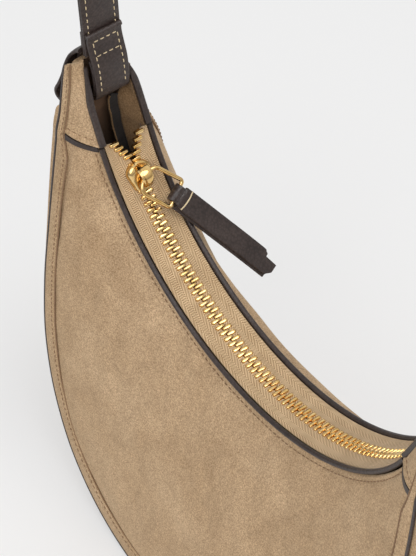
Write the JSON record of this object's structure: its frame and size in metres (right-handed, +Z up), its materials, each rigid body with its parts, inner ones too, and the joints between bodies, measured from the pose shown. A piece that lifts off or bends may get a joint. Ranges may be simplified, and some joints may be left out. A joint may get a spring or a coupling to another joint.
{
  "type": "half moon bag",
  "caption": "Half moon shoulder bag with a curved top zip, pointed horn ends, a gusset, and one leather strap looped through the end walls.",
  "frame": {"origin": "on the floor under the middle of the bag", "axes": "+X along the bag towards the closed end of the zip, front towards -Y, +Z up"},
  "size_m": [0.2444, 0.1108, 0.4697],
  "materials": {
    "suede": "brushed tan suede",
    "dark_leather": "smooth dark brown leather, satin",
    "zip_tape": "woven herringbone tape",
    "gold_metal": "polished light gold",
    "lining": "dark brown woven lining",
    "board": "bag board",
    "thread": "cream thread"
  },
  "bodies": {
    "bag": {"back_edge_binding": "dark_leather", "back_edge_strip": "suede", "back_left_horn": "suede", "back_left_horn_binding": "dark_leather", "back_lining": "lining", "back_panel": "suede", "back_right_horn": "suede", "back_right_horn_binding": "dark_leather", "back_rim_piping": "dark_leather", "base_board": "board", "base_panel": "suede", "front_edge_binding": "dark_leather", "front_edge_strip": "suede", "front_left_horn": "suede", "front_left_horn_binding": "dark_leather", "front_lining": "lining", "front_panel": "suede", "front_right_horn": "suede", "front_right_horn_binding": "dark_leather", "front_rim_piping": "dark_leather", "inner_pocket": "lining", "left_end_wall": "suede", "left_gusset": "suede", "left_strap_loop": "dark_leather", "left_strap_pin": "thread", "right_end_wall": "suede", "right_gusset": "suede", "right_strap_loop": "dark_leather", "right_strap_pin": "thread", "zip_bottom_stop": "gold_metal", "zip_tape_back": "zip_tape", "zip_tape_front": "zip_tape", "zip_teeth_back": "gold_metal", "zip_teeth_front": "gold_metal"},
    "slider": {"slider_body": "gold_metal", "slider_underplate": "gold_metal"},
    "ring": {"pull_ring": "gold_metal"},
    "tab": {"pull_tab": "dark_leather"},
    "strap": {"strap_outer": "dark_leather", "strap_backing": "dark_leather"}
  },
  "joints": [
    {"name": "slider_travel", "type": "hinge", "parent": "bag", "child": "slider", "pos_m": [0, 0, 0.2572], "axis": [0, -1, 0], "range_deg": [0, 115]},
    {"name": "pull_ring_swing", "type": "hinge", "parent": "slider", "child": "ring", "pos_m": [-0.08612, 0, 0.20358], "axis": [0.3279, -0.7771, -0.5372], "range_deg": [0, 100]},
    {"name": "pull_tab_swing", "type": "hinge", "parent": "ring", "child": "tab", "pos_m": [-0.07831, 0.01042, 0.19328], "axis": [0.3279, -0.7771, -0.5372], "range_deg": [0, 80]},
    {"name": "strap_fall", "type": "hinge", "parent": "bag", "child": "strap", "pos_m": [0, 0, 0.2662], "axis": [1, 0, 0], "range_deg": [-70, 70]}
  ]
}
